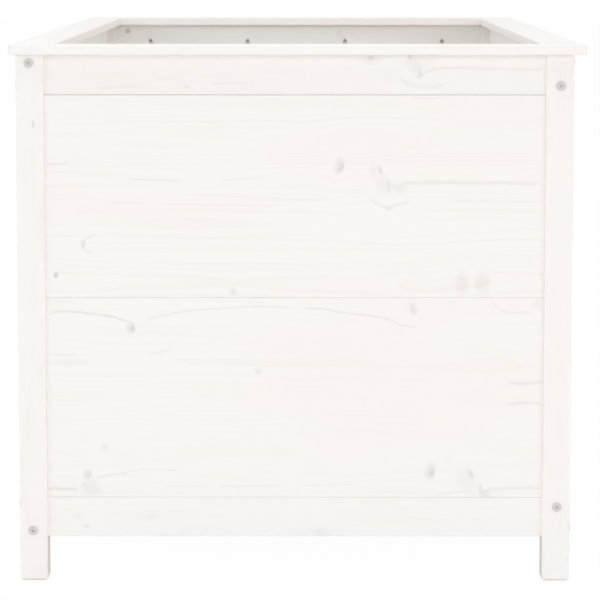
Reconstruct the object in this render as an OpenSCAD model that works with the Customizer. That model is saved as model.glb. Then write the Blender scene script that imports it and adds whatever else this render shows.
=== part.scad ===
// Raised garden bed: four posts, four framed walls of tongued boards, a mitred rim and a slatted floor.
// X runs across the bed, Y along it from front to back, and Z up from the ground.
// The origin is on the ground, under the middle of the rim.

/* [Overall size] */
// Width of the bed, over its rim
bed_w = 825; // [700:5:1000]
// Length of the bed, over its rim
bed_l = 1595; // [1200:5:1900]
// Height from the ground to the top of the rim
bed_h = 780; // [600:5:900]

/* [Rim] */
// Width of the rim boards
rim_w = 60; // [52:1:75]
// Thickness of the rim boards
rim_t = 14; // [12:0.5:20]
// How far the rim stands out past the posts
rim_over = 12.5; // [6:0.5:18]
// How far the rim sits to the right of the middle of the posts
rim_shift = 4; // [0:0.5:6]
// Radius of the rim boards' rounded edges
rim_round = 1.5; // [0.5:0.25:3]
// Width of the fine joint left open at each mitre
mitre_gap = 0.3; // [0.1:0.1:1]

/* [Posts] */
// Side of the square posts
post_w = 40; // [38:1:50]
// Radius of the posts' upright edges
post_round = 2; // [1:0.25:3]
// Bevel round the underside of each foot
foot_bevel = 3; // [1:0.25:4]
// Height of the legs below the bottom rails
leg_h = 65; // [40:1:120]

/* [Walls] */
// Height of the top and bottom rails
rail_h = 57.5; // [54:0.5:70]
// Thickness of the rails and the centre stiles
rail_t = 20; // [19:0.5:22]
// How far rails and boards lie behind the posts' outer faces
wall_set = 5; // [4:0.5:6]
// Thickness of the wide boards
board_t = 14; // [12:0.5:15]
// Thickness of the tongues
tongue_t = 6; // [5:0.5:7]
// Length of the tongues
tongue_l = 7; // [5:0.5:8]
// Width of the centre stile in each long wall
stile_w = 58; // [52:1:80]
// Bevel along the outer edges of rails, boards and stiles
edge_bevel = 0.5; // [0.2:0.1:1]
// Room left for swelling above the upper boards
swell_gap = 0.5; // [0.4:0.1:2]
// Fine joint left under each wide board
seam_gap = 0.2; // [0.1:0.05:0.4]
// Fine joint left at the ends of the wide boards
shoulder_gap = 0.1; // [0.1:0.05:0.5]

/* [Rail bolts and dowels] */
// Diameter of the bolts
bolt_d = 6; // [5:0.5:6.5]
// Diameter of the bolts' flat round heads
bolt_head_d = 13.5; // [11:0.5:15]
// Thickness of the bolts' heads
bolt_head_t = 1.5; // [1.2:0.1:3]
// Width across the flats of the hexagon socket
socket_w = 4; // [3:0.5:5]
// Depth of the hexagon socket
socket_deep = 2.6; // [1:0.1:3]
// Length of a bolt past its barrel nut
bolt_tail = 3; // [1:0.5:5]
// Distance of a bolt's axis from the post's outer side face
bolt_in = 19; // [18:0.5:20]
// Upper bolt's distance below the top of the posts, on the left post of a wall
bolt_top_left = 12; // [11:0.5:14]
// Lower bolt's distance above the legs, on the left post of a wall
bolt_low_left = 9; // [8.5:0.5:13]
// Bolts' distance from the rails' outer edges, on the right post of a wall
bolt_right = 44.5; // [43:0.5:46]
// Diameter of the barrel nuts
nut_d = 10; // [9:0.5:11]
// Distance of a barrel nut from the end of its rail
nut_in = 24; // [14:0.5:26]
// Width and depth of the slot in a barrel nut's end
nut_slot = 1.2; // [0.8:0.1:2]
// Diameter of the dowels in the rails' ends
dowel_d = 8; // [6:0.5:9]
// Length of these dowels
dowel_l = 30; // [24:1:36]
// Length of a dowel that sits in the post
dowel_post = 12; // [9:0.5:14]
// Distance of the dowels from the rails' outer edges
dowel_edge = 28; // [26:0.5:30]

/* [Rim fastening] */
// Diameter of the slanted pocket holes in the top rails
pocket_d = 10; // [9:0.5:11]
// Slant of the pocket holes from upright
pocket_tilt = 20; // [16:0.5:22]
// Depth of a pocket hole's middle below the top of its rail
pocket_drop = 41.5; // [35:0.5:42]
// Length of the pocket beyond its middle, up to the screw's seat
pocket_seat = 14; // [11:0.5:16]
// Widest spacing of the pocket holes
pocket_pitch = 200; // [150:5:240]
// Distance of the outer pocket holes from a short rail's ends
pocket_end_short = 73; // [60:1:110]
// Distance of the outer pocket holes from a long rail's ends
pocket_end_long = 145; // [60:5:200]
// Offset of a short rail's pocket holes to the left, seen from inside the bed
pocket_shift = 4; // [0:1:12]
// Diameter of the rim screws
rim_screw_d = 4; // [3.5:0.25:4.5]
// Diameter of the rim screws' heads
rim_head_d = 8; // [7:0.25:8.5]
// Thickness of the rim screws' heads
rim_head_t = 2.5; // [2:0.25:4]
// Wood left above the tips of the rim screws
rim_cover = 4; // [2:0.5:6]
// Diameter of the dowels in the mitres
mitre_dowel_d = 6; // [5:0.5:8]
// Length of the dowels in the mitres
mitre_dowel_l = 30; // [20:1:34]

/* [Floor] */
// Height of the floor battens and bearers
batten_h = 30; // [24:1:34]
// Width of the floor battens
batten_w = 30; // [26:1:40]
// Height of the battens' underside above the bottom rails' lower edge
batten_up = 4; // [0:0.5:10]
// How far the battens stop short of the posts
batten_short = 35; // [30:1:36]
// Width of the bearers
bearer_w = 40; // [30:1:50]
// Length of a bearer's lap on its batten
lap_l = 20; // [14:1:24]
// Thickness of the floor slats
slat_t = 14; // [12:0.5:18]
// Drainage gap between two slats
slat_gap = 8; // [5:0.5:14]
// Gap between the slats' ends and the long walls
slat_end_gap = 3; // [1:0.5:6]
// Gap between the first and last slats and the posts
slat_post_gap = 2; // [1:0.5:5]
// Bevel along the slats' upper edges
slat_bevel = 1; // [0.5:0.25:2]
// Distance of the slat screws from the slats' long edges
slat_screw_in = 40; // [36:1:44]

/* [Wood screws] */
// Diameter of the screws in floor and stiles
screw_d = 4; // [3:0.25:4.5]
// Diameter of their countersunk heads
screw_head_d = 8; // [7:0.25:9]
// How deep the slat screws go into the battens
slat_bite = 21; // [14:0.5:22]
// How deep the batten screws go into the rails
batten_bite = 14; // [10:0.5:16]
// How deep the bearer screws go into the lower half of a lap
bearer_bite = 10; // [6:0.5:11]
// How deep the stile screws go into the stiles
stile_bite = 32; // [20:1:45]
// Distance of the stile screws from the stile's middle
stile_screw_x = 14; // [12:0.5:15]

/* [Fits] */
// Clearance on each side of a tongue
tongue_fit = 0.2; // [0.1:0.05:0.4]
// Room at the end of a tongue, dowel or bolt
end_fit = 0.5; // [0.3:0.1:0.9]
// Clearance round the bolts
bolt_fit = 0.3; // [0.1:0.05:0.5]
// Clearance round dowels, barrel nuts and screws
peg_fit = 0.1; // [0.05:0.05:0.3]

/* [Hidden] */
$fn = 48;

// The walls in turn, anticlockwise from above
FRONT = 0;
RIGHT = 1;
BACK = 2;
LEFT = 3;
WALLS = [FRONT, RIGHT, BACK, LEFT];

// Finishes
whitewash = [0.95, 0.93, 0.90];
bare_pine = [0.86, 0.74, 0.55];
zinc = [0.70, 0.71, 0.73];

// Half width and half length over the posts' outer faces
half_x = bed_w / 2 - rim_over;
half_y = bed_l / 2 - rim_over;
post_h = bed_h - rim_t;

// Depths measured inwards from a wall's post faces
rail_mid = wall_set + rail_t / 2;
rail_in = wall_set + rail_t;
tongue_mid = wall_set + board_t / 2;
tongue_edge = (board_t - tongue_t) / 2;
groove_l = tongue_l + end_fit;
groove_t = tongue_t + 2 * tongue_fit;

// Heights
boards_low = leg_h + rail_h;
boards_high = post_h - rail_h;
boards_h = boards_high - boards_low;
board_h = (boards_h - swell_gap) / 2 - seam_gap;
floor_low = leg_h + batten_up;
floor_mid = floor_low + batten_h / 2;
floor_top = floor_low + batten_h;

// How far a cutting shape runs past the surface that it cuts
cut = 1;

// Bolts and nuts
nut_l = 2 * (rail_in - bolt_in);
bolt_l = post_w + nut_in + nut_d / 2 + bolt_tail;
bolt_hole_in = bolt_l - post_w + end_fit;
head_bevel = bolt_head_t / 4;

// Rim screws, measured along their slanted axis from the middle of the pocket's mouth
rim_screw_tip = (pocket_drop + rim_t - rim_cover) / cos(pocket_tilt);
pocket_mouth = pocket_d / 2 / tan(pocket_tilt) + 2 * cut;

// Floor slats
slat_n = 12;
slats_half_l = half_y - post_w - slat_post_gap;
slat_w = (2 * slats_half_l - (slat_n - 1) * slat_gap) / slat_n;
slat_pitch = slat_w + slat_gap;
slat_half = half_x - rail_in - slat_end_gap;

function is_long(wall) = wall == RIGHT || wall == LEFT;
function half_out(wall) = is_long(wall) ? half_y : half_x;
function half_span(wall) = half_out(wall) - post_w;
function distance(wall) = is_long(wall) ? half_x : half_y;
function after(wall) = (wall + 1) % len(WALLS);
function before(wall) = (wall + len(WALLS) - 1) % len(WALLS);
function batten_half(wall) = half_span(wall) - batten_short;

// A rail's bolt: seen from outside, bolts reach a rail's right end through the next wall's left post
function bolt_z(side, top) =
    top ? post_h - (side > 0 ? bolt_top_left : bolt_right)
        : leg_h + (side > 0 ? bolt_low_left : bolt_right);
function dowel_z(top) = top ? post_h - dowel_edge : leg_h + dowel_edge;

function pocket_end(wall) = is_long(wall) ? pocket_end_long : pocket_end_short;
function pocket_run(wall) = 2 * (half_span(wall) - pocket_end(wall));
function pocket_steps(wall) = ceil(pocket_run(wall) / pocket_pitch);
function pocket_xs(wall) =
    [for (k = [0 : pocket_steps(wall)])
        (k / pocket_steps(wall) - 0.5) * pocket_run(wall) + (is_long(wall) ? 0 : pocket_shift)];

// Batten screws lie under the middles of slats along the long walls, clear of the slat screws
function batten_screw_xs(wall) = is_long(wall)
    ? [for (side = [-1, 1], k = [1, 3, 5]) side * (k + 0.5) * slat_pitch]
    : [for (side = [-1, 1], k = [1, 3]) side * k / 4 * batten_half(wall)];

// What stands under the rim, a little to the left of the rim's middle
module under_rim()
    translate([-rim_shift, 0, 0]) children();

// Rim frame of a wall: x to the right seen from outside, y inwards from rim_over behind the rim's edge, z up
module on_rim(wall)
    rotate([0, 0, 90 * wall]) translate([0, -distance(wall), 0]) children();

// Wall frame: the same axes, with y inwards from the post faces
module on_wall(wall)
    under_rim() on_rim(wall) children();

// End frame of a rail: x outwards from the rail's end into the post
module at_end(wall, side)
    on_wall(wall) mirror([side < 0 ? 1 : 0, 0, 0]) translate([half_span(wall), 0, 0]) children();

// Extrudes a section drawn in y and z along x
module along_x(l)
    rotate([90, 0, 90]) linear_extrude(l) children();

// Cylinder along x, from x0 to x1
module rod_x(x0, x1, d)
    translate([x0, 0, 0]) rotate([0, 90, 0]) cylinder(h = x1 - x0, d = d);

// Section of a flat piece whose outer edges are bevelled
module eased_section(t, h)
    polygon([[edge_bevel, 0], [t, 0], [t, h], [edge_bevel, h], [0, h - edge_bevel], [0, edge_bevel]]);

// Section with four rounded corners
module rounded_section(w, t, r) {
    translate([r, 0]) square([w - 2 * r, t]);
    translate([0, r]) square([w, t - 2 * r]);
    for (x = [r, w - r], y = [r, t - r]) translate([x, y]) circle(r);
}

// Countersunk screw along -Z, with the top of its head at z = 0
module screw(d, l, head_d) {
    head_h = (head_d - d) / 2;
    slot_l = 0.55 * head_d;
    slot_t = 0.2 * d;
    difference() {
        rotate_extrude() polygon([[0, 0], [head_d / 2, 0], [d / 2, -head_h], [d / 2, d - l], [0, -l]]);
        for (turn = [0, 90])
            rotate([0, 0, turn]) translate([-slot_l / 2, -slot_t / 2, -0.8 * head_h])
                cube([slot_l, slot_t, head_h + cut]);
    }
}

// The hole for such a screw, countersunk and a little deeper than its tip
module screw_hole(d, l, head_d) {
    head_h = (head_d - d) / 2;
    rotate_extrude() polygon([[0, cut], [head_d / 2 + peg_fit, cut], [head_d / 2 + peg_fit, 0],
        [d / 2 + peg_fit, -head_h], [d / 2 + peg_fit, -l - end_fit], [0, -l - end_fit]]);
}

// Bolt, dowel and nut holes at one end of a rail, through rail and post
module joint_holes(wall, side, top) at_end(wall, side) {
    translate([0, bolt_in, bolt_z(side, top)]) {
        rod_x(-bolt_hole_in, post_w + cut, bolt_d + 2 * bolt_fit);
        translate([-nut_in, nut_l / 2 + cut, 0]) rotate([90, 0, 0])
            cylinder(h = nut_l + cut + end_fit, d = nut_d + 2 * peg_fit);
    }
    translate([0, rail_mid, dowel_z(top)])
        rod_x(dowel_post - dowel_l - end_fit, dowel_post + end_fit, dowel_d + 2 * peg_fit);
}

// Groove in a post's inner side face for the ends of the boards
module post_groove(wall, side) at_end(wall, side)
    translate([-cut, tongue_mid - groove_t / 2, boards_low])
        cube([groove_l + cut, groove_t, boards_h]);

// Corner post between the right end of one wall and the left end of the next
module post(wall)
    color(whitewash) difference() {
        on_wall(wall) translate([half_span(wall), 0, 0])
            linear_extrude(post_h) rounded_section(post_w, post_w, post_round);
        on_wall(wall) translate([half_span(wall) + post_w / 2, post_w / 2, 0]) foot_bevels();
        for (top = [true, false]) {
            joint_holes(wall, 1, top);
            joint_holes(after(wall), -1, top);
        }
        post_groove(wall, 1);
        post_groove(after(wall), -1);
    }

// Wedges that bevel the four lower edges of a post centred on the z axis
module foot_bevels()
    for (turn = [0 : 90 : 270])
        rotate([0, 0, turn]) translate([-post_w, post_w / 2 - foot_bevel, 0])
            along_x(2 * post_w) polygon([[0, 0], [foot_bevel + cut, foot_bevel + cut],
                [foot_bevel + cut, -cut], [-cut, -cut]]);

// A rail between two posts, grooved along the edge that meets the boards
module rail(wall, top) {
    half = half_span(wall);
    groove_z = top ? -cut : rail_h - groove_l;
    color(whitewash) difference() {
        on_wall(wall) translate([-half, wall_set, top ? post_h - rail_h : leg_h])
            along_x(2 * half) difference() {
                eased_section(rail_t, rail_h);
                translate([tongue_edge - tongue_fit, groove_z]) square([groove_t, groove_l + cut]);
            }
        for (side = [-1, 1]) joint_holes(wall, side, top);
        if (top) rim_screw_holes(wall);
        else batten_screw_holes(wall);
        if (is_long(wall)) on_stile_screws(wall) stile_screw_hole();
    }
}

// One wide board. bay is 0 for a whole wall, and -1 or 1 for the left or right of a long wall.
module board(wall, bay, upper) {
    x0 = bay > 0 ? stile_w / 2 : -half_span(wall);
    x1 = bay < 0 ? -stile_w / 2 : half_span(wall);
    tongue_low = upper ? groove_l : 0;
    z0 = boards_low + seam_gap + (upper ? board_h + seam_gap : 0);
    color(whitewash) on_wall(wall) translate([0, wall_set, z0]) {
        translate([x0 + shoulder_gap, 0, 0]) along_x(x1 - x0 - 2 * shoulder_gap) board_section(upper);
        translate([x0 - tongue_l, tongue_edge, tongue_low])
            cube([x1 - x0 + 2 * tongue_l, tongue_t, board_h - tongue_low]);
    }
}

// Section of a board: tongue above, and a tongue or, on an upper board, a groove below
module board_section(upper)
    difference() {
        union() {
            eased_section(board_t, board_h);
            translate([tongue_edge, board_h - cut]) square([tongue_t, tongue_l + cut]);
            if (!upper) translate([tongue_edge, -tongue_l]) square([tongue_t, tongue_l + cut]);
        }
        if (upper) translate([tongue_edge - tongue_fit, -cut]) square([groove_t, groove_l + cut]);
    }

// Centre stile of a long wall, with stub tenons in the rails' grooves
module centre_stile(wall)
    color(whitewash) difference() {
        on_wall(wall) translate([-stile_w / 2, wall_set, boards_low]) difference() {
            union() {
                linear_extrude(boards_h)
                    polygon([[edge_bevel, 0], [stile_w - edge_bevel, 0], [stile_w, edge_bevel],
                        [stile_w, rail_t], [0, rail_t], [0, edge_bevel]]);
                translate([groove_l, tongue_edge, -tongue_l])
                    cube([stile_w - 2 * groove_l, tongue_t, boards_h + 2 * tongue_l]);
            }
            for (x = [-cut, stile_w - groove_l])
                translate([x, tongue_edge - tongue_fit, -cut])
                    cube([groove_l + cut, groove_t, boards_h + 2 * cut]);
        }
        on_stile_screws(wall) stile_screw_hole();
    }

// Places of the stile screws: down through the top rail and up through the bottom rail
module on_stile_screws(wall) on_wall(wall)
    for (x = [-stile_screw_x, stile_screw_x]) translate([x, tongue_mid, 0]) {
        translate([0, 0, post_h]) children();
        translate([0, 0, leg_h]) mirror([0, 0, 1]) children();
    }

module stile_screw_hole() screw_hole(screw_d, rail_h + stile_bite, screw_head_d);

// Rim board over one wall, mitred at both ends
module rim_board(wall) {
    half = half_out(wall) + rim_over;
    mitre = half - mitre_gap / sqrt(2);
    color(whitewash) difference() {
        on_rim(wall) translate([0, -rim_over, post_h]) intersection() {
            translate([-half, 0, 0]) along_x(2 * half) rounded_section(rim_w, rim_t, rim_round);
            translate([0, 0, -cut]) linear_extrude(rim_t + 2 * cut)
                polygon([[-mitre - cut, -cut], [mitre + cut, -cut],
                    [mitre - rim_w - cut, rim_w + cut], [rim_w - mitre + cut, rim_w + cut]]);
        }
        rim_screw_holes(wall);
        for (w = [wall, before(wall)])
            on_mitre_dowels(w)
                cylinder(h = mitre_dowel_l + 2 * end_fit, d = mitre_dowel_d + 2 * peg_fit, center = true);
    }
}

// Places of the two dowels in the mitre at a wall's right end
module on_mitre_dowels(wall) on_rim(wall)
    for (share = [1 / 3, 2 / 3])
        translate([half_out(wall) + rim_over - share * rim_w, share * rim_w - rim_over, post_h + rim_t / 2])
            rotate([0, 90, 45]) children();

// Slanted axes of the rim screws, upwards from the middles of the pockets' mouths
module on_rim_screws(wall) on_wall(wall)
    for (x = pocket_xs(wall))
        translate([x, rail_in, post_h - pocket_drop]) rotate([pocket_tilt, 0, 0]) children();

module rim_screw_holes(wall) on_rim_screws(wall) {
    translate([0, 0, -pocket_mouth]) cylinder(h = pocket_mouth + pocket_seat, d = pocket_d);
    cylinder(h = rim_screw_tip + end_fit, d = rim_screw_d + 2 * peg_fit);
}

// Floor batten along a wall, notched for the bearer that rests on it
module floor_batten(wall) {
    half = batten_half(wall);
    notch = bearer_w / 2 + tongue_fit;
    color(whitewash) difference() {
        on_wall(wall) translate([0, rail_in, floor_low]) difference() {
            translate([-half, 0, 0]) cube([2 * half, batten_w, batten_h]);
            translate([-notch, batten_w - lap_l - end_fit, batten_h / 2])
                cube([2 * notch, lap_l + end_fit + cut, batten_h]);
        }
        batten_screw_holes(wall);
        on_bearer_screws() bearer_screw_hole();
        if (is_long(wall)) on_slat_screws() slat_screw_hole();
    }
}

// Places of the batten screws, from the batten's inner face towards the wall
module on_batten_screws(wall) on_wall(wall)
    for (x = batten_screw_xs(wall))
        translate([x, rail_in + batten_w, floor_mid]) rotate([-90, 0, 0]) children();

module batten_screw_holes(wall)
    on_batten_screws(wall) screw_hole(screw_d, batten_w + batten_bite, screw_head_d);

// Bearer along y, half-lapped on the battens at its ends
module bearer(half) difference() {
    translate([-bearer_w / 2, -half, floor_low]) cube([bearer_w, 2 * half, batten_h]);
    for (side = [0, 1])
        mirror([0, side, 0]) translate([-bearer_w / 2 - cut, half - lap_l - end_fit, floor_low - cut])
            cube([bearer_w + 2 * cut, lap_l + end_fit + cut, batten_h / 2 + cut]);
}

function bearer_half(out) = out - rail_in - batten_w + lap_l;

// The cross-lap's recess in the middle of a bearer, from the height z up
module cross_lap(z)
    translate([-bearer_w / 2 - cut, -bearer_w / 2 - tongue_fit, z])
        cube([bearer_w + 2 * cut, bearer_w + 2 * tongue_fit, batten_h / 2 + cut]);

module long_bearer()
    color(whitewash) difference() {
        under_rim() bearer(bearer_half(half_y));
        under_rim() cross_lap(floor_low - cut);
        on_bearer_screws() bearer_screw_hole();
    }

module cross_bearer()
    color(whitewash) difference() {
        under_rim() rotate([0, 0, 90]) difference() {
            bearer(bearer_half(half_x));
            cross_lap(floor_mid);
        }
        on_bearer_screws() bearer_screw_hole();
    }

// Places of the bearer screws: the four laps on the battens and the crossing
module on_bearer_screws() under_rim() {
    x = bearer_half(half_x) - lap_l / 2;
    y = bearer_half(half_y) - lap_l / 2;
    for (at = [[0, 0], [x, 0], [-x, 0], [0, y], [0, -y]])
        translate([at[0], at[1], floor_top]) children();
}

module bearer_screw_hole() screw_hole(screw_d, batten_h / 2 + bearer_bite, screw_head_d);

// Middle of a floor slat along y, counted from 1 at the front
function slat_y(k) = (k - (slat_n + 1) / 2) * slat_pitch;

module floor_slat(k)
    color(whitewash) difference() {
        under_rim() translate([-slat_half, slat_y(k), floor_top]) along_x(2 * slat_half)
            polygon([[-slat_w / 2, 0], [slat_w / 2, 0], [slat_w / 2, slat_t - slat_bevel],
                [slat_w / 2 - slat_bevel, slat_t], [slat_bevel - slat_w / 2, slat_t],
                [-slat_w / 2, slat_t - slat_bevel]]);
        on_slat_screws([k]) slat_screw_hole();
    }

// Places of the slat screws over the long battens
module on_slat_screws(slats = [1 : slat_n]) under_rim()
    for (k = slats, x = [-1, 1] * (half_x - rail_in - batten_w / 2), side = [-1, 1])
        translate([x, slat_y(k) + side * (slat_w / 2 - slat_screw_in), floor_top + slat_t]) children();

module slat_screw_hole() screw_hole(screw_d, slat_t + slat_bite, screw_head_d);

// Bolt along -Z, with the underside of its head at z = 0
module rail_bolt()
    difference() {
        union() {
            translate([0, 0, -bolt_l]) cylinder(h = bolt_l, d = bolt_d);
            rotate_extrude() polygon([[0, 0], [bolt_head_d / 2, 0], [bolt_head_d / 2, bolt_head_t - head_bevel],
                [bolt_head_d / 2 - head_bevel, bolt_head_t], [0, bolt_head_t]]);
        }
        translate([0, 0, bolt_head_t - socket_deep])
            cylinder(h = socket_deep + cut, d = socket_w / cos(30), $fn = 6);
    }

module rail_bolts()
    color(zinc) for (wall = WALLS, side = [-1, 1], top = [true, false])
        at_end(wall, side) translate([post_w, bolt_in, bolt_z(side, top)]) rotate([0, 90, 0]) rail_bolt();

module barrel_nuts()
    color(zinc) for (wall = WALLS, side = [-1, 1], top = [true, false])
        at_end(wall, side) translate([-nut_in, bolt_in, bolt_z(side, top)]) difference() {
            rotate([90, 0, 0]) cylinder(h = nut_l, d = nut_d, center = true);
            rod_x(-nut_d, nut_d, bolt_d + 2 * peg_fit);
            translate([-nut_d, nut_l / 2 - nut_slot, -nut_slot / 2]) cube([2 * nut_d, nut_slot + cut, nut_slot]);
        }

module rail_dowels()
    color(bare_pine) for (wall = WALLS, side = [-1, 1], top = [true, false])
        at_end(wall, side) translate([0, rail_mid, dowel_z(top)])
            rod_x(dowel_post - dowel_l, dowel_post, dowel_d);

module rim_screws()
    color(zinc) for (wall = WALLS) on_rim_screws(wall) {
        translate([0, 0, pocket_seat - rim_head_t]) cylinder(h = rim_head_t, d = rim_head_d);
        translate([0, 0, pocket_seat - cut]) cylinder(h = rim_screw_tip - pocket_seat + cut, d = rim_screw_d);
    }

module mitre_dowels()
    color(bare_pine) for (wall = WALLS) on_mitre_dowels(wall)
        cylinder(h = mitre_dowel_l, d = mitre_dowel_d, center = true);

module stile_screws()
    color(zinc) for (wall = [RIGHT, LEFT])
        on_stile_screws(wall) screw(screw_d, rail_h + stile_bite, screw_head_d);

module batten_screws()
    color(zinc) for (wall = WALLS)
        on_batten_screws(wall) screw(screw_d, batten_w + batten_bite, screw_head_d);

module bearer_screws()
    color(zinc) on_bearer_screws() screw(screw_d, batten_h / 2 + bearer_bite, screw_head_d);

module slat_screws()
    color(zinc) on_slat_screws() screw(screw_d, slat_t + slat_bite, screw_head_d);

post(LEFT);  // post_front_left
post(FRONT);  // post_front_right
post(BACK);  // post_back_left
post(RIGHT);  // post_back_right
rail(FRONT, true);  // front_top_rail
rail(RIGHT, true);  // right_top_rail
rail(BACK, true);  // back_top_rail
rail(LEFT, true);  // left_top_rail
rail(FRONT, false);  // front_bottom_rail
rail(RIGHT, false);  // right_bottom_rail
rail(BACK, false);  // back_bottom_rail
rail(LEFT, false);  // left_bottom_rail
board(FRONT, 0, true);  // front_board_upper
board(FRONT, 0, false);  // front_board_lower
board(BACK, 0, true);  // back_board_upper
board(BACK, 0, false);  // back_board_lower
board(RIGHT, -1, true);  // right_front_board_upper
board(RIGHT, -1, false);  // right_front_board_lower
board(RIGHT, 1, true);  // right_back_board_upper
board(RIGHT, 1, false);  // right_back_board_lower
board(LEFT, 1, true);  // left_front_board_upper
board(LEFT, 1, false);  // left_front_board_lower
board(LEFT, -1, true);  // left_back_board_upper
board(LEFT, -1, false);  // left_back_board_lower
centre_stile(RIGHT);  // right_centre_stile
centre_stile(LEFT);  // left_centre_stile
rim_board(FRONT);  // rim_front
rim_board(RIGHT);  // rim_right
rim_board(BACK);  // rim_back
rim_board(LEFT);  // rim_left
floor_batten(FRONT);  // front_floor_batten
floor_batten(RIGHT);  // right_floor_batten
floor_batten(BACK);  // back_floor_batten
floor_batten(LEFT);  // left_floor_batten
long_bearer();
cross_bearer();
for (k = [1 : slat_n]) floor_slat(k);
rail_bolts();
barrel_nuts();
rail_dowels();
rim_screws();
mitre_dowels();
stile_screws();
batten_screws();
bearer_screws();
slat_screws();
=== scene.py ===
"""Raised garden bed of whitewashed pine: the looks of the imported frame, its light and its camera."""
import math
import random
from collections import namedtuple

import bpy
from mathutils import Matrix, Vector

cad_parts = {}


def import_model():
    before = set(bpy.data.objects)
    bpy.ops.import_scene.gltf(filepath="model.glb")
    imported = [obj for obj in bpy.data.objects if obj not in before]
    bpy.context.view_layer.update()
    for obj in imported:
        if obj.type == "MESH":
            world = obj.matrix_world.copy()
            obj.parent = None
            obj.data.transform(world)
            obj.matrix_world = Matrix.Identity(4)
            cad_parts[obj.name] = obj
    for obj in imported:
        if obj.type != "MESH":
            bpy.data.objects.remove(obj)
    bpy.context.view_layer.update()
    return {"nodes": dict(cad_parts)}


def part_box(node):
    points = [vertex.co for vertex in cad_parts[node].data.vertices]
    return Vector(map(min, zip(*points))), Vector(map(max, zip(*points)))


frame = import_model()

# Lengths are in metres, but the marks in the wood are written in millimetres
MM = 0.001
X, Y, Z = range(3)

# The camera stands in front of the bed, a little higher than its rim
CAMERA_PLACE = (0.0145, -4.857, 0.9202)
CAMERA_DOWN = math.radians(6.5)
CAMERA_TURN = math.radians(0.309)
CAMERA_LENS = 170.6
CAMERA_SHIFT = (0.0128, -0.05)

# The surround is seen as white, and lights the bed with this share of white
WORLD_LIGHT = 0.675

# How far the floor reaches, its own grey, and the share of plain white in what is seen of it
FLOOR_REACH = 30.0
FLOOR_GREY = 0.92
FLOOR_WHITE = 0.98

# An area lamp: its place, its width and height, and its power in watts
Softbox = namedtuple("Softbox", "name place width height power")
SOFTBOXES = [
    Softbox("overhead_softbox", (0.0, -1.2, 5.0), 3.0, 3.0, 51),
    Softbox("front_softbox", (0.4, -6.0, 1.5), 3.0, 1.0, 23),
    Softbox("front_right_softbox", (5.2, -4.6, 2.2), 2.6, 1.0, 42),
    Softbox("front_left_softbox", (-5.2, -4.6, 2.2), 2.6, 1.0, 43),
    Softbox("back_softbox", (0.0, 6.0, 1.6), 5.0, 1.2, 60),
    Softbox("right_softbox", (6.0, 0.5, 1.8), 4.0, 1.2, 32),
    Softbox("left_softbox", (-6.0, 0.5, 1.8), 4.0, 1.2, 31),
]
SOFTBOX_AIM = (0.0, 0.0, 0.4)


def srgb(red, green, blue):
    """A colour written in display values from 0 to 255, as linear values."""
    linear = []
    for value in (red, green, blue):
        share = value / 255
        linear.append(share / 12.92 if share <= 0.04045 else ((share + 0.055) / 1.055) ** 2.4)
    return (*linear, 1.0)


# The wash, a paler and greyer copy of it that is painted light for the inner faces of the walls, and the
# wood that shows through it
WHITEWASH = srgb(249, 246, 243)
PINKISH_WASH = srgb(250, 244, 241)
YELLOWISH_WASH = srgb(247, 244, 238)
INNER_PAINTED_LIGHT = srgb(250, 249, 247)
LATEWOOD = srgb(237, 231, 224)
KNOT_WOOD = srgb(219, 214, 210)
LINE_WOOD = srgb(232, 227, 222)
END_GRAIN = srgb(238, 232, 225)

# The two tones of each zinc plating, and a darker steel colour that is painted shade in the recess of a
# bolt's head
BOLT_ZINC = (srgb(202, 198, 195), srgb(234, 229, 226))
NUT_ZINC = (srgb(194, 193, 191), srgb(224, 222, 220))
SCREW_ZINC = (srgb(186, 184, 182), srgb(216, 214, 212))
RECESS_PAINTED_SHADE = srgb(203, 199, 196)

# The two tones of the dowels' beech, and its flecks
BEECH_TONES = (srgb(231, 208, 172), srgb(217, 188, 148))
BEECH_FLECKS = srgb(168, 128, 88)

# How deep under the outer face of a bolt's head the painted shade in its recess begins, and where it is full
RECESS_SHADE_BEGINS = 0.2 * MM
RECESS_SHADE_FULL = 0.5 * MM

# A knot: its place along and across the grain and its half sizes along and across, all in millimetres, its
# tilt in degrees, how dark it is from 0 to 1, how soft its edge is as a share of its size, and whether its
# heart is darker than the rest
Knot = namedtuple("Knot", "along across long wide tilt dark soft heart", defaults=[False])

# A dark grain line: its points along and across the grain and its half width, in millimetres, and how dark
# it is from 0 to 1
Line = namedtuple("Line", "points half dark")

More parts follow.
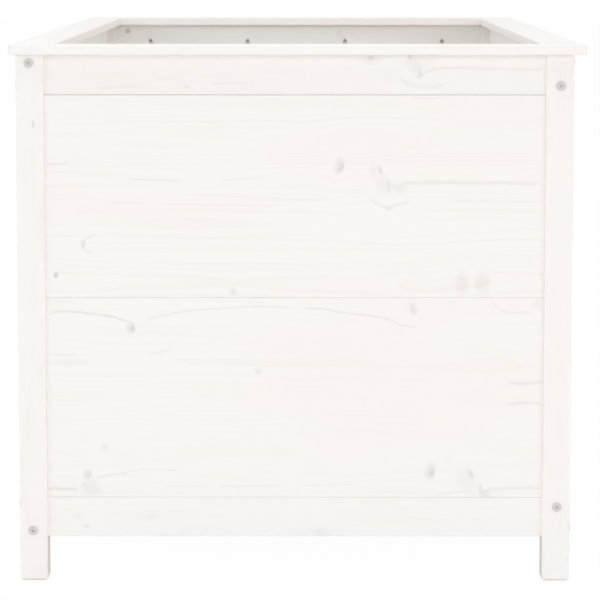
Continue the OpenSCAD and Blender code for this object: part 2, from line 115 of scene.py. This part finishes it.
# The end wall that faces the camera, with its marks where the photograph shows them. Along is X and across
# is Z, and on a post along is Z and across is X.
SEEN_KNOTS = {
    "front_top_rail": [
        Knot(105, 761, 5, 4, 0, 0.75, 0.5), Knot(104, 760, 15, 7, 0, 0.28, 0.8),
        Knot(161, 762, 3, 5, 0, 0.6, 0.5), Knot(167, 756, 14, 9, 0, 0.24, 0.8),
        Knot(171, 748, 8, 10, 15, 0.28, 0.8), Knot(186, 760, 12, 6, 0, 0.14, 0.8),
        Knot(175, 742, 2.2, 6, 10, 0.5, 0.6), Knot(175, 736, 5, 3, 20, 0.45, 0.6),
        Knot(127, 738, 18, 8, 0, 0.06, 0.8), Knot(-159, 720, 5, 2, 0, 0.3, 0.7),
    ],
    "front_board_upper": [
        Knot(60, 606, 7, 12.5, -14, 0.75, 0.3, True), Knot(119, 600, 2.6, 6.5, 22, 0.6, 0.5),
        Knot(109, 601, 5, 10, 5, 0.22, 0.8), Knot(122, 580, 9, 13, 10, 0.2, 0.8),
        Knot(131, 577, 2.6, 10, 4, 0.5, 0.5), Knot(143, 575, 11, 5, -20, 0.28, 0.8),
        Knot(131, 545, 5, 2.6, 0, 0.35, 0.7), Knot(237, 436, 8.5, 16, 0, 0.24, 0.6),
        Knot(237, 442, 3, 3.4, 0, 0.4, 0.6), Knot(267, 437, 9, 15, 12, 0.26, 0.7),
        Knot(260, 432, 2.5, 10, 0, 0.3, 0.6), Knot(-309, 493, 3, 6.5, -10, 0.5, 0.6),
        Knot(-300, 504, 7, 2.6, 20, 0.25, 0.7), Knot(-302, 482, 6, 2.6, -30, 0.18, 0.7),
        Knot(-349, 448, 3.2, 4, 0, 1.0, 0.4), Knot(-93, 424, 5, 5, 0, 0.35, 0.8),
    ],
    "front_board_lower": [
        Knot(-241, 371, 6.5, 7.5, 0, 0.8, 0.3, True), Knot(167, 399, 5.5, 9, 10, 0.42, 0.5),
        Knot(-57, 308, 4.5, 3.6, 0, 0.35, 0.7), Knot(-280, 196, 5, 4.5, 0, 0.28, 0.8),
        Knot(-305, 156, 6, 6.5, 0, 0.5, 0.5), Knot(-300, 136, 13, 10, 0, 0.28, 0.7),
        Knot(-294, 131, 5, 4, 0, 0.3, 0.6), Knot(-309, 141, 4, 5, 0, 0.3, 0.6),
        Knot(193, 161, 7, 12.5, -14, 0.72, 0.3, True), Knot(252, 157, 3, 7, 22, 0.65, 0.5),
        Knot(246, 150, 12, 17, 20, 0.18, 0.8), Knot(266, 135, 2.6, 8, 4, 0.45, 0.6),
        Knot(272, 127, 7, 4.5, 0, 0.42, 0.7), Knot(223, 408, 6, 3, 0, 0.22, 0.7),
        Knot(347, 407, 6, 6, 0, 0.22, 0.8),
    ],
    "front_bottom_rail": [
        Knot(34, 71, 11, 6, 0, 0.22, 0.8), Knot(-307, 80, 5, 2, 0, 0.4, 0.7),
        Knot(-319, 95, 8, 4, 0, 0.15, 0.8), Knot(-213, 93, 9, 4, 0, 0.12, 0.8),
    ],
    "post_front_left": [Knot(666, -379, 5, 2, 0, 0.6, 0.5), Knot(116, -405, 8, 4, 0, 0.3, 0.5)],
    "post_front_right": [Knot(84, 397, 9, 4, 0, 0.4, 0.5)],
}
SEEN_LINES = {
    "front_top_rail": [
        Line([(176, 736), (186, 741), (199, 746), (231, 747), (250, 746)], 3.0, 0.5),
        Line([(232, 747), (259, 746), (300, 745), (359, 745)], 3.5, 0.35),
        Line([(143, 746), (149, 732), (163, 722), (186, 720), (214, 723)], 5.5, 0.3),
        Line([(-290, 717), (-260, 719), (-226, 721)], 4.0, 0.3),
        Line([(-128, 724), (-105, 725), (-60, 725)], 2.0, 0.35),
        Line([(-206, 732), (-190, 732), (-174, 732)], 1.6, 0.35),
        Line([(-326, 716), (-318, 716), (-308, 716)], 1.0, 0.35),
    ],
    "front_board_upper": [
        Line([(132, 572), (147, 578), (167, 582), (262, 582), (358, 581)], 4.4, 0.5),
        Line([(215, 556), (300, 555), (358, 555)], 2.0, 0.3),
        Line([(99, 560), (116, 551), (128, 547), (140, 550), (164, 554)], 3.4, 0.4),
        Line([(78, 571), (92, 573), (106, 577)], 1.6, 0.2),
        Line([(163, 705), (185, 703), (216, 705)], 1.6, 0.5),
        Line([(-361, 609), (-345, 609), (-329, 610)], 2.2, 0.6),
        Line([(-247, 587), (-205, 586), (-163, 584)], 2.2, 0.45),
        Line([(-114, 585), (-85, 587), (-46, 590)], 2.0, 0.35),
        Line([(-158, 563), (-130, 563), (-82, 562), (-40, 559), (55, 557)], 1.5, 0.35),
        Line([(-273, 552), (-245, 553), (-218, 552)], 1.5, 0.4),
        Line([(-198, 550), (-140, 550), (-22, 548)], 1.3, 0.4),
        Line([(-316, 541), (-300, 542), (-287, 544)], 1.4, 0.3),
    ],
    "front_board_lower": [
        Line([(-362, 393), (-336, 395), (-300, 392), (-271, 388), (-250, 382), (-232, 378)], 2.6, 0.8),
        Line([(-234, 378), (-199, 388), (-155, 396), (-105, 400), (-35, 402), (4, 399)], 2.0, 0.5),
        Line([(2, 399), (35, 399), (69, 393), (105, 389), (134, 383), (148, 376), (179, 372)], 2.2, 0.6),
        Line([(-350, 410), (-335, 409), (-310, 406)], 2.0, 0.3),
        Line([(-366, 135), (-345, 135), (-318, 134)], 3.4, 0.8),
        Line([(-296, 151), (-270, 155), (-245, 159)], 2.2, 0.6),
        Line([(-250, 160), (-220, 163), (-170, 162)], 1.8, 0.35),
        Line([(-200, 139), (-160, 139), (-125, 139)], 1.5, 0.3),
        Line([(-118, 139), (-70, 139), (-20, 140)], 2.4, 0.35),
        Line([(0, 140), (45, 141), (88, 142)], 1.5, 0.3),
        Line([(262, 126), (280, 134), (300, 136), (358, 136)], 4.0, 0.5),
        Line([(200, 125), (222, 129), (244, 132)], 2.4, 0.3),
        Line([(275, 413), (286, 405), (299, 395), (318, 394), (341, 394)], 2.8, 0.35),
        Line([(302, 292), (325, 290), (358, 294)], 3.6, 0.6),
        Line([(299, 260), (325, 261), (358, 261)], 3.4, 0.5),
        Line([(-216, 334), (-200, 335), (-180, 345)], 2.0, 0.4),
        Line([(-366, 334), (-345, 332), (-318, 331)], 2.6, 0.35),
    ],
}

# Knots that the photograph doesn't show: one for each such length of a piece, their sizes in millimetres,
# how much larger they are on boards, how dark they can be, and how often one has a pale halo to one side
BOARD_KNOT_EVERY = 0.11
RIM_KNOT_EVERY = 0.5
KNOT_EVERY = 0.24
KNOT_SIZES = (3, 7)
BOARD_KNOTS_LARGER = 1.3
KNOT_DARKS = (0.25, 0.4, 0.55, 0.75)
HALO_CHANCE = 0.4

# Grain lines of boards that the photograph doesn't show: one for each such area in square millimetres, their
# lengths, bows and half widths in millimetres, how dark they can be, and how far from the board's end they
# stop at the latest
LINE_AREA = 50000
LINE_LENGTHS = (90, 360)
LINE_BOWS = (-6, 6)
LINE_HALVES = (2.2, 4.2)
LINE_DARKS = (0.2, 0.3, 0.45)
LINE_END_GAP = 4

# Lines that run out from a dark knot: how often one does, their lengths and the shortest that is drawn, how
# far off the knot's middle they start, how soon they turn along the grain, their half widths, all in
# millimetres, and how dark they can be
TAIL_CHANCE = 0.6
TAIL_LENGTHS = (60, 200)
TAIL_SHORTEST = 30
TAIL_LIFTS = (3, 7)
TAIL_TURN = 14
TAIL_HALVES = (2.0, 3.6)
TAIL_DARKS = (0.35, 0.5)

# How dark a knot is that bends the grain around it, and how fast the bend fades beside it
BENDS_GRAIN = 0.45
BEND_FADE = 0.55

# A knot's dark heart, in shares of the knot: where its middle lies, and where it fades out and is full
HEART_PLACE = (0.4, -0.1, 0)
HEART_EDGE = 0.85
HEART_CORE = 0.35

# Growth rings: how wide they are, how far they sway, and how far behind the face their pith lies
RING_WIDTH = 0.0032
RING_SWAY = 0.022
PITH_NEAR = 0.035
PITH_FAR = 0.085

# The strips that a wide board is glued up from, and how far apart they can lie in the noise
STRIP_WIDTH = 0.0702
STRIP_SCATTER = 20.0

# How often each noise changes in a metre: along the grain, across it and out of the face
RING_SWAY_NOISE = (1.6, 7.0, 1.0)
RING_PATCH_NOISE = (4.0, 25.0, 1.0)
FIBRE_NOISE = (14.0, 700.0, 700.0)
STREAK_NOISE = (3.5, 60.0, 60.0)
CLOUD_NOISE = (2.2, 9.0, 1.0)
SCRATCH_NOISE = (2600.0, 260.0, 2600.0)
KNOT_EDGE_NOISE = 260.0
LINE_EDGE_NOISE = 90.0
PLATING_NOISE = 420.0
FLECK_NOISE = 900.0
BEECH_NOISE = 60.0

# How far noise moves the edge of a knot, as a share of the knot, and the middle of a grain line, in metres
KNOT_EDGE_MOVES = 0.25
LINE_MOVES = 1.2 * MM

# The share of a grain line's length over which each end fades
LINE_END_FADE = 0.12

# The matt wash: its gloss, its least roughness, and how much the fibres add to that
WASH_GLOSS = 0.3
WASH_ROUGHNESS = 0.52
FIBRES_ROUGHEN = 0.2

# How deep the relief of each material is, and how high fibres, late wood and knots stand in the pine's, as
# shares of it
WOOD_RELIEF = 0.25 * MM
BEECH_RELIEF = 0.1 * MM
SCRATCH_RELIEF = 0.05 * MM
FIBRE_HEIGHT = 0.8
LATEWOOD_HEIGHT = 0.4
KNOT_HEIGHT = 0.5


class Graph:
    """Builds a node tree, one call for each node."""

    def __init__(self, tree):
        self.tree = tree

    def add(self, kind, values, **settings):
        node = self.tree.nodes.new("ShaderNode" + kind)
        for name, value in settings.items():
            setattr(node, name, value)
        for socket, value in values.items():
            self.fill(node.inputs[socket], value)
        return node

    def fill(self, socket, value):
        """Links a socket to the input, or writes a plain value into it."""
        if isinstance(value, bpy.types.NodeSocket):
            self.tree.links.new(value, socket)
        else:
            socket.default_value = value

    def math(self, operation, *values):
        return self.add("Math", dict(enumerate(values)), operation=operation).outputs[0]

    def total(self, values):
        """The sum of a list of sockets."""
        result = values[0]
        for value in values[1:]:
            result = self.math("ADD", result, value)
        return result

    def largest(self, values):
        """The largest of a list of sockets."""
        result = values[0]
        for value in values[1:]:
            result = self.math("MAXIMUM", result, value)
        return result

    def step(self, value, low, high, to_low=0.0, to_high=1.0):
        """A smooth step from to_low at low to to_high at high."""
        values = {"Value": value, "From Min": low, "From Max": high, "To Min": to_low, "To Max": to_high}
        return self.add("MapRange", values, interpolation_type="SMOOTHSTEP").outputs[0]

    def vector(self, x, y, z):
        return self.add("CombineXYZ", {0: x, 1: y, 2: z}).outputs[0]

    def parts(self, vector):
        return self.add("SeparateXYZ", {0: vector}).outputs

    def length(self, vector):
        return self.add("VectorMath", {0: vector}, operation="LENGTH").outputs["Value"]

    def combined(self, operation, first, second):
        """A vector from two vectors."""
        return self.add("VectorMath", {0: first, 1: second}, operation=operation).outputs[0]

    def noise(self, vector, scale, detail=2.0, roughness=0.5):
        values = {"Vector": vector, "Scale": scale, "Detail": detail, "Roughness": roughness}
        return self.add("TexNoise", values).outputs[0]

    def stretched_noise(self, vector, stretch, detail=2.0, roughness=0.5):
        """Noise with its own scale along each axis."""
        return self.noise(self.combined("MULTIPLY", vector, stretch), 1.0, detail, roughness)

    def wobble(self, vector, scale, reach):
        """Noise from -reach to reach."""
        return self.math("MULTIPLY_ADD", self.noise(vector, scale), 2 * reach, -reach)

    def chance(self, number):
        """White noise that is the same for the same number."""
        return self.add("TexWhiteNoise", {"W": number}, noise_dimensions="1D").outputs

    def blend(self, share, first, second):
        """The first colour, with a share of the second over it."""
        return self.add("Mix", {0: share, 6: first, 7: second}, data_type="RGBA").outputs[2]

    def bump(self, height, strength, distance):
        """The normal of a surface with such a relief."""
        return self.add("Bump", {"Strength": strength, "Distance": distance, "Height": height}).outputs[0]


def new_material(name):
    """A material, its graph and its shader, with the shader linked to the output."""
    material = bpy.data.materials.new(name)
    material.use_nodes = True
    shader = material.node_tree.nodes["Principled BSDF"]
    return material, Graph(material.node_tree), shader


# The axes along a wooden piece's grain, across its face and out of its face
Lie = namedtuple("Lie", "along across out")


def lie_of(node):
    """How a wooden piece lies, by its name."""
    if node.startswith("post"):
        return Lie(Z, X, Y)
    if node.endswith("stile"):
        return Lie(Z, Y, X)
    if node.startswith("floor_slat") or node == "cross_bearer":
        return Lie(X, Y, Z)
    if node == "long_bearer":
        return Lie(Y, X, Z)
    on_long_side = "left" in node or "right" in node
    if node.startswith("rim"):
        return Lie(Y, X, Z) if on_long_side else Lie(X, Y, Z)
    return Lie(Y, Z, X) if on_long_side else Lie(X, Z, Y)


def knot_spacing(node):
    """The length of a piece for each of its knots."""
    if "board" in node:
        return BOARD_KNOT_EVERY
    if node.startswith("rim"):
        return RIM_KNOT_EVERY
    return KNOT_EVERY


def chosen_knots(node, low, high, lie):
    """Knots in likely places for a piece whose knots the photograph doesn't show."""
    dice = random.Random(node)
    length = high[lie.along] - low[lie.along]
    width = high[lie.across] - low[lie.across]
    larger = BOARD_KNOTS_LARGER if "board" in node else 1.0
    knots = []
    for _ in range(round(length / knot_spacing(node))):
        size = dice.uniform(*KNOT_SIZES) * larger
        along = (low[lie.along] + length * dice.uniform(0.03, 0.97)) / MM
        across = (low[lie.across] + width * dice.uniform(0.08, 0.92)) / MM
        tilt = dice.uniform(-25, 25)
        dark = dice.choice(KNOT_DARKS)
        stretch = dice.uniform(0.7, 1.3)
        has_heart = dark > 0.5
        soft = 0.25 if has_heart else 0.45
        knots.append(Knot(along, across, size * stretch, size / stretch, tilt, dark, soft, has_heart))
        if dice.random() < HALO_CHANCE:
            halo_along = along + size * dice.uniform(-1.2, 1.2)
            halo_across = across - 1.5 * size
            knots.append(Knot(halo_along, halo_across, size * 1.3, size * 2.2, tilt, 0.2, 0.6))
    return knots


def loose_lines(dice, start, end, edge, width):
    """Grain lines in likely places of a board, all in millimetres."""
    lines = []
    for _ in range(round((end - start) * width / LINE_AREA)):
        first = start + (end - start) * dice.uniform(0.02, 0.8)
        last = min(first + dice.uniform(*LINE_LENGTHS), end - LINE_END_GAP)
        height = edge + width * dice.uniform(0.06, 0.94)
        bow = dice.uniform(*LINE_BOWS)
        third = (last - first) / 3
        points = [
            (first, height),
            (first + third, height + bow),
            (last - third, height + bow * dice.random()),
            (last, height - bow / 3),
        ]
        lines.append(Line(points, dice.uniform(*LINE_HALVES), dice.choice(LINE_DARKS)))
    return lines


def knot_tails(dice, knots, end):
    """Grain lines that run out from some of a board's dark knots, all in millimetres."""
    tails = []
    for knot in knots:
        first = knot.along + knot.long
        last = min(first + dice.uniform(*TAIL_LENGTHS), end - LINE_END_GAP)
        lift = dice.choice((-1, 1)) * dice.uniform(*TAIL_LIFTS)
        if knot.dark > BENDS_GRAIN and last - first > TAIL_SHORTEST and dice.random() < TAIL_CHANCE:
            points = [
                (first, knot.across - lift),
                (first + TAIL_TURN, knot.across),
                (last, knot.across + lift / 3),
            ]
            tails.append(Line(points, dice.uniform(*TAIL_HALVES), dice.choice(TAIL_DARKS)))
    return tails


def chosen_lines(node, low, high, lie, knots):
    """Grain lines for a board whose lines the photograph doesn't show."""
    dice = random.Random(node + " lines")
    start = low[lie.along] / MM
    end = high[lie.along] / MM
    edge = low[lie.across] / MM
    width = (high[lie.across] - low[lie.across]) / MM
    return loose_lines(dice, start, end, edge, width) + knot_tails(dice, knots, end)


def heart_mark(graph, turned, knot, wobble):
    """The darkness of a knot's heart, which lies a little off the knot's middle."""
    reach = graph.math("ADD", graph.length(graph.combined("SUBTRACT", turned, HEART_PLACE)), wobble)
    return graph.step(reach, HEART_EDGE, HEART_CORE, 0.0, knot.dark)


def knot_mark(graph, place, knot, wobble):
    """A knot's darkness, and how far it bends the grain across."""
    turned = graph.add("Mapping", {
        "Vector": place,
        "Location": (knot.along * MM, knot.across * MM, 0),
        "Rotation": (0, 0, math.radians(knot.tilt)),
        "Scale": (knot.long * MM, knot.wide * MM, 1),
    }, vector_type="TEXTURE").outputs[0]
    reach = graph.length(turned)
    ragged = graph.math("ADD", reach, wobble)
    shade = knot.dark * (0.5 if knot.heart else 1.0)
    dark = graph.step(ragged, 1 + knot.soft, 1 - knot.soft, 0.0, shade)
    if knot.heart:
        dark = graph.largest([dark, heart_mark(graph, turned, knot, wobble)])
    spread = graph.math("MULTIPLY_ADD", graph.math("MULTIPLY", reach, reach), BEND_FADE, 1.0)
    beside = graph.math("SUBTRACT", graph.parts(place)[1], knot.across * MM)
    return dark, graph.math("DIVIDE", beside, spread)


def bent_grain(graph, across, knots, marks):
    """The place across the grain, where the grain runs round the dark knots."""
    bends = [bend for (_, bend), knot in zip(marks, knots) if knot.dark > BENDS_GRAIN]
    if not bends:
        return across
    return graph.math("SUBTRACT", across, graph.total(bends))


def line_mark(graph, along, across, line, wobble):
    """The darkness of a grain line that follows a smooth curve through its points."""
    alongs = [point[0] * MM for point in line.points]
    acrosses = [point[1] * MM for point in line.points]
    first, last = alongs[0], alongs[-1]
    low, high = min(acrosses) - MM, max(acrosses) + MM
    share = graph.add("MapRange", {"Value": along, "From Min": first, "From Max": last}).outputs[0]
    curve = graph.add("FloatCurve", {"Value": share})

    # A new curve has its two end points, and takes those between them
    points = curve.mapping.curves[0].points
    for index, (here, height) in enumerate(zip(alongs, acrosses)):
        spot = ((here - first) / (last - first), (height - low) / (high - low))
        if index in (0, len(alongs) - 1):
            points[-1 if index else 0].location = spot
        else:
            points.new(*spot)
    curve.mapping.update()

    # Dark along the curve, and fading to both sides and at both ends
    centre = graph.math("MULTIPLY_ADD", curve.outputs[0], high - low, low)
    off = graph.math("ABSOLUTE", graph.math("SUBTRACT", across, graph.math("ADD", centre, wobble)))
    body = graph.step(off, 0.2 * line.half * MM, line.half * MM, line.dark, 0.0)
    ends = graph.step(graph.math("PINGPONG", share, 0.5), 0.0, LINE_END_FADE)
    return graph.math("MULTIPLY", body, ends)


def growth_rings(graph, node, bent, far_along, deep, seed):
    """The late wood of each year, and how much of it shows through the wash.

    The rings run round a pith behind the face, and each strip of a wide board has its own pith.
    """
    low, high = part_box(node)
    lie = lie_of(node)
    edge = low[lie.across]
    strip_w = STRIP_WIDTH if "board" in node else high[lie.across] - edge
    strip = graph.math("FLOOR", graph.math("DIVIDE", graph.math("SUBTRACT", bent, edge), strip_w))
    chances = graph.parts(graph.chance(graph.math("ADD", strip, seed))["Color"])
    pith_across = graph.math("MULTIPLY_ADD", graph.math("ADD", strip, chances[0]), strip_w, edge)
    pith_back = graph.math("MULTIPLY_ADD", chances[1], PITH_FAR - PITH_NEAR, PITH_NEAR)
    pith_deep = graph.math("ADD", pith_back, (low[lie.out] + high[lie.out]) / 2)
    strip_along = graph.math("MULTIPLY_ADD", chances[2], STRIP_SCATTER, far_along)
    strip_place = graph.vector(strip_along, bent, deep)

    # Rings at even distances from the pith, but for a sway
    sway = graph.math("SUBTRACT", graph.stretched_noise(strip_place, RING_SWAY_NOISE, 3.0), 0.5)
    from_pith_across = graph.math("SUBTRACT", bent, pith_across)
    from_pith_deep = graph.math("SUBTRACT", deep, pith_deep)
    from_pith = graph.length(graph.vector(from_pith_across, from_pith_deep, 0.0))
    swayed = graph.math("ADD", from_pith, graph.math("MULTIPLY", sway, RING_SWAY))
    turns = graph.math("DIVIDE", swayed, RING_WIDTH)
    year = graph.math("FLOOR", turns)
    season = graph.math("FRACT", turns)

    # Late wood darkens slowly and ends sharply, and shows in few years and in patches
    late = graph.math("MULTIPLY", graph.step(season, 0.35, 0.86), graph.step(season, 1.0, 0.9))
    year_chance = graph.chance(graph.math("ADD", year, seed))["Value"]
    strength = graph.math("MULTIPLY_ADD", graph.math("POWER", year_chance, 4.0), 0.75, 0.25)
    patches = graph.step(graph.stretched_noise(strip_place, RING_PATCH_NOISE), 0.3, 0.7)
    return late, graph.math("MULTIPLY", late, graph.math("MULTIPLY", strength, patches))


def wash_with_painted_inner_light(graph, node, lie, deep):
    """The wash's own colour, with painted light on the inner faces of the walls: a paler, greyer copy of the
    wash where the bed's shade falls inside.
    """
    if lie.out == Z or node.startswith("post"):
        return WHITEWASH
    low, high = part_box(node)
    middle = (low[lie.out] + high[lie.out]) / 2
    outward = graph.math("MULTIPLY", deep, math.copysign(1, middle))
    inner_painted_light_mask = graph.math("LESS_THAN", outward, abs(middle))
    # Painted light: a paler, greyer wash on the inner faces of the walls lifts the shade inside the bed
    return graph.blend(inner_painted_light_mask, WHITEWASH, INNER_PAINTED_LIGHT)


def pine(node):
    """Whitewashed pine for one piece, with the grain along it."""
    low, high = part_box(node)
    lie = lie_of(node)
    seed = random.Random(node + " wood").uniform(0, 50)
    material, graph, shader = new_material("pine_" + node)
    coordinates = graph.add("TexCoord", {}).outputs
    place_xyz = graph.parts(coordinates["Object"])
    along, across, deep = (place_xyz[axis] for axis in lie)
    place = graph.vector(along, across, 0.0)
    far_along = graph.math("ADD", along, seed)
    seeded = graph.vector(far_along, across, deep)

    # Knots, and the growth rings and fibres that run round them
    knots = SEEN_KNOTS.get(node) or chosen_knots(node, low, high, lie)
    knot_wobble = graph.wobble(seeded, KNOT_EDGE_NOISE, KNOT_EDGE_MOVES)
    marks = [knot_mark(graph, place, knot, knot_wobble) for knot in knots]
    knotty = graph.largest([dark for dark, _ in marks])
    bent = bent_grain(graph, across, knots, marks)
    late, rings = growth_rings(graph, node, bent, far_along, deep, seed)
    grain = graph.vector(far_along, bent, deep)
    fibres = graph.stretched_noise(grain, FIBRE_NOISE, 3.0, 0.6)

    # Clouds and streaks of the wash, and the fibres and rings that show through it
    clouds = graph.stretched_noise(seeded, CLOUD_NOISE, 1.0)
    streaks = graph.stretched_noise(grain, STREAK_NOISE)
    # The wash, with painted light on the inner faces of the walls
    wash = wash_with_painted_inner_light(graph, node, lie, deep)
    colour = graph.blend(graph.step(clouds, 0.42, 0.7, to_high=0.8), wash, PINKISH_WASH)
    colour = graph.blend(graph.step(streaks, 0.5, 0.8, to_high=0.5), colour, YELLOWISH_WASH)
    colour = graph.blend(graph.step(fibres, 0.5, 0.85, to_high=0.25), colour, LATEWOOD)
    colour = graph.blend(graph.math("MULTIPLY", rings, 0.35), colour, LATEWOOD)

    # Grain lines, knots and end grain
    lines = SEEN_LINES.get(node, [])
    if "board" in node and not lines:
        lines = chosen_lines(node, low, high, lie, knots)
    if lines:
        line_wobble = graph.wobble(seeded, LINE_EDGE_NOISE, LINE_MOVES)
        darkest = graph.largest([line_mark(graph, along, across, line, line_wobble) for line in lines])
        colour = graph.blend(darkest, colour, LINE_WOOD)
    colour = graph.blend(knotty, colour, KNOT_WOOD)
    facing = graph.math("ABSOLUTE", graph.parts(coordinates["Normal"])[lie.along])
    colour = graph.blend(graph.step(facing, 0.6, 0.9, to_high=0.7), colour, END_GRAIN)
    graph.fill(shader.inputs["Base Color"], colour)

    # Sheen of the matt wash, and the relief of rings, fibres and knots
    shader.inputs["Specular IOR Level"].default_value = WASH_GLOSS
    roughness = graph.math("MULTIPLY_ADD", fibres, FIBRES_ROUGHEN, WASH_ROUGHNESS)
    graph.fill(shader.inputs["Roughness"], roughness)
    relief = graph.math("MULTIPLY_ADD", late, LATEWOOD_HEIGHT, graph.math("MULTIPLY", fibres, FIBRE_HEIGHT))
    relief = graph.math("MULTIPLY_ADD", knotty, KNOT_HEIGHT, relief)
    graph.fill(shader.inputs["Normal"], graph.bump(relief, 0.3, WOOD_RELIEF))
    return material


def beech():
    """Bare beech of the dowels, with its short dark flecks."""
    material, graph, shader = new_material("beech_dowel")
    place = graph.add("TexCoord", {}).outputs["Object"]
    flecks = graph.noise(place, FLECK_NOISE)
    clouds = graph.noise(place, BEECH_NOISE, 3.0)
    colour = graph.blend(clouds, *BEECH_TONES)
    colour = graph.blend(graph.step(flecks, 0.55, 0.7, to_high=0.6), colour, BEECH_FLECKS)
    graph.fill(shader.inputs["Base Color"], colour)
    graph.fill(shader.inputs["Roughness"], graph.math("MULTIPLY_ADD", flecks, 0.2, 0.55))
    graph.fill(shader.inputs["Normal"], graph.bump(flecks, 0.3, BEECH_RELIEF))
    return material


def painted_shade_below_bolt_faces(graph, place):
    """Where the recesses of the bolts get painted shade: 1 on what lies deeper than the outer faces of the
    bolts' heads, and 0 on these faces.
    """
    _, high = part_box("rail_bolts")
    x, y, _ = graph.parts(place)
    past_side = graph.math("SUBTRACT", graph.math("ABSOLUTE", x), high[X])
    past_end = graph.math("SUBTRACT", graph.math("ABSOLUTE", y), high[Y])
    return graph.step(graph.largest([past_side, past_end]), -RECESS_SHADE_FULL, -RECESS_SHADE_BEGINS, 1.0, 0.0)


def zinc(name, tones, recess=None):
    """Zinc-plated steel with a cloudy plating and fine scratches, and painted shade where a recess is given.
    """
    material, graph, shader = new_material(name)
    place = graph.add("TexCoord", {}).outputs["Object"]
    clouds = graph.noise(place, PLATING_NOISE, 3.0, 0.6)
    colour = graph.blend(clouds, *tones)
    if recess:
        # Painted shade: the recesses of the bolts' heads take a darker steel colour
        colour = graph.blend(recess(graph, place), colour, RECESS_PAINTED_SHADE)
    graph.fill(shader.inputs["Base Color"], colour)
    graph.fill(shader.inputs["Roughness"], graph.math("MULTIPLY_ADD", clouds, 0.25, 0.25))
    shader.inputs["Metallic"].default_value = 1.0
    scratches = graph.stretched_noise(place, SCRATCH_NOISE)
    graph.fill(shader.inputs["Normal"], graph.bump(scratches, 0.2, SCRATCH_RELIEF))
    return material


def dress(node, material):
    """Gives a CAD node one material."""
    slots = frame["nodes"][node].data.materials
    slots.clear()
    slots.append(material)


def dress_bed():
    """Gives each kind of fastener its material, and each wooden piece pine of its own."""
    fasteners = {
        "rail_bolts": zinc("zinc_bolt", BOLT_ZINC, painted_shade_below_bolt_faces),
        "barrel_nuts": zinc("zinc_nut", NUT_ZINC),
    }
    screw_steel = zinc("zinc_screw", SCREW_ZINC)
    for held in ("rim", "stile", "batten", "bearer", "slat"):
        fasteners[held + "_screws"] = screw_steel
    dowel_beech = beech()
    for held in ("rail", "mitre"):
        fasteners[held + "_dowels"] = dowel_beech
    for node in frame["nodes"]:
        dress(node, fasteners.get(node) or pine(node))


def seen_directly(graph):
    """1 for a ray from the camera, or one that a gloss or glass sends on, and 0 for the others."""
    ray = graph.add("LightPath", {}).outputs
    return graph.largest([ray["Is Camera Ray"], ray["Is Glossy Ray"], ray["Is Transmission Ray"]])


def floor():
    """A pale floor that is seen as white, with a faint shadow of the bed on it."""
    mesh = bpy.data.meshes.new("floor")
    far = FLOOR_REACH
    corners = [(-far, -far, 0), (far, -far, 0), (far, far, 0), (-far, far, 0)]
    mesh.from_pydata(corners, [], [(0, 1, 2, 3)])
    plane = bpy.data.objects.new("floor", mesh)
    bpy.context.scene.collection.objects.link(plane)
    material = bpy.data.materials.new("floor_white")
    material.use_nodes = True
    graph = Graph(material.node_tree)
    nodes = material.node_tree.nodes
    nodes.remove(nodes["Principled BSDF"])
    pale = graph.add("BsdfDiffuse", {"Color": (FLOOR_GREY, FLOOR_GREY, FLOOR_GREY, 1.0)}).outputs[0]
    white = graph.add("Emission", {"Color": (1.0, 1.0, 1.0, 1.0), "Strength": 1.0}).outputs[0]
    share = graph.math("MULTIPLY", seen_directly(graph), FLOOR_WHITE)
    mixed = graph.add("MixShader", {0: share, 1: pale, 2: white}).outputs[0]
    graph.fill(nodes["Material Output"].inputs["Surface"], mixed)
    mesh.materials.append(material)


def world():
    """A surround that is seen as white and lights the bed a little less than white."""
    surround = bpy.data.worlds.new("white_surround")
    bpy.context.scene.world = surround
    surround.use_nodes = True
    graph = Graph(surround.node_tree)
    nodes = surround.node_tree.nodes
    nodes.remove(nodes["Background"])
    lit = graph.add("Background", {"Color": (1.0, 1.0, 1.0, 1.0), "Strength": WORLD_LIGHT}).outputs[0]
    seen = graph.add("Background", {"Color": (1.0, 1.0, 1.0, 1.0), "Strength": 1.0}).outputs[0]
    mixed = graph.add("MixShader", {0: seen_directly(graph), 1: lit, 2: seen}).outputs[0]
    graph.fill(nodes["World Output"].inputs["Surface"], mixed)


def softbox(box):
    """An area lamp that faces the bed and leaves no glare on it: gloss shows the white surround alone."""
    lamp = bpy.data.lights.new(box.name, "AREA")
    lamp.shape = "RECTANGLE"
    lamp.size = box.width
    lamp.size_y = box.height
    lamp.energy = box.power
    holder = bpy.data.objects.new(box.name, lamp)
    bpy.context.scene.collection.objects.link(holder)
    holder.location = box.place
    direction = holder.location.copy()
    for axis in (X, Y, Z):
        direction[axis] = SOFTBOX_AIM[axis] - box.place[axis]
    holder.rotation_euler = direction.to_track_quat("-Z", "Y").to_euler()
    holder.visible_glossy = False


def camera():
    """The camera, which sees the bed as the photograph shows it."""
    lens = bpy.data.cameras.new("camera")
    lens.lens = CAMERA_LENS
    lens.shift_x, lens.shift_y = CAMERA_SHIFT
    holder = bpy.data.objects.new("camera", lens)
    bpy.context.scene.collection.objects.link(holder)
    holder.location = CAMERA_PLACE
    holder.rotation_euler = (math.pi / 2 - CAMERA_DOWN, 0, CAMERA_TURN)
    bpy.context.scene.camera = holder


dress_bed()
floor()
world()
for box in SOFTBOXES:
    softbox(box)
camera()
bpy.context.scene.view_settings.view_transform = "Standard"
